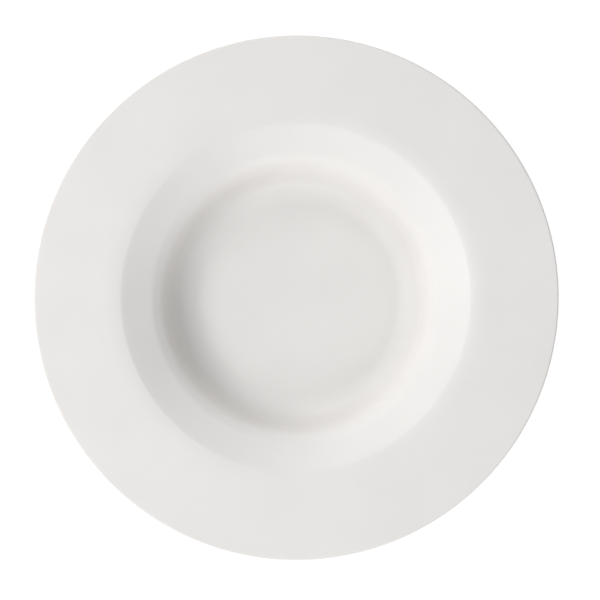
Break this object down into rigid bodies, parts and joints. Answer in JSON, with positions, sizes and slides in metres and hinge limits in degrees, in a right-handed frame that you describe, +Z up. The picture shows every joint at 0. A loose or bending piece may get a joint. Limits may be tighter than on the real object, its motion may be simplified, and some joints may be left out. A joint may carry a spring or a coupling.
{
  "type": "pasta bowl",
  "caption": "Round pasta bowl with a wide, almost flat rim, a sloping ledge and a deep well on a foot ring, in white glazed porcelain.",
  "frame": {"origin": "on the bowl's axis, at the height of the table that its foot ring stands on", "axes": "+Z up along the bowl's axis; X and Y lie in the table's plane, and the bowl is round, so any X will do"},
  "size_m": [0.3, 0.3, 0.0486],
  "materials": {
    "porcelain": "unglazed biscuit, matt and slightly rough",
    "glaze": "smooth warm white glaze with a soft gloss"
  },
  "bodies": {
    "root": {"porcelain_body": "porcelain", "glaze_coat": "glaze", "base_glaze": "glaze"}
  },
  "joints": []
}
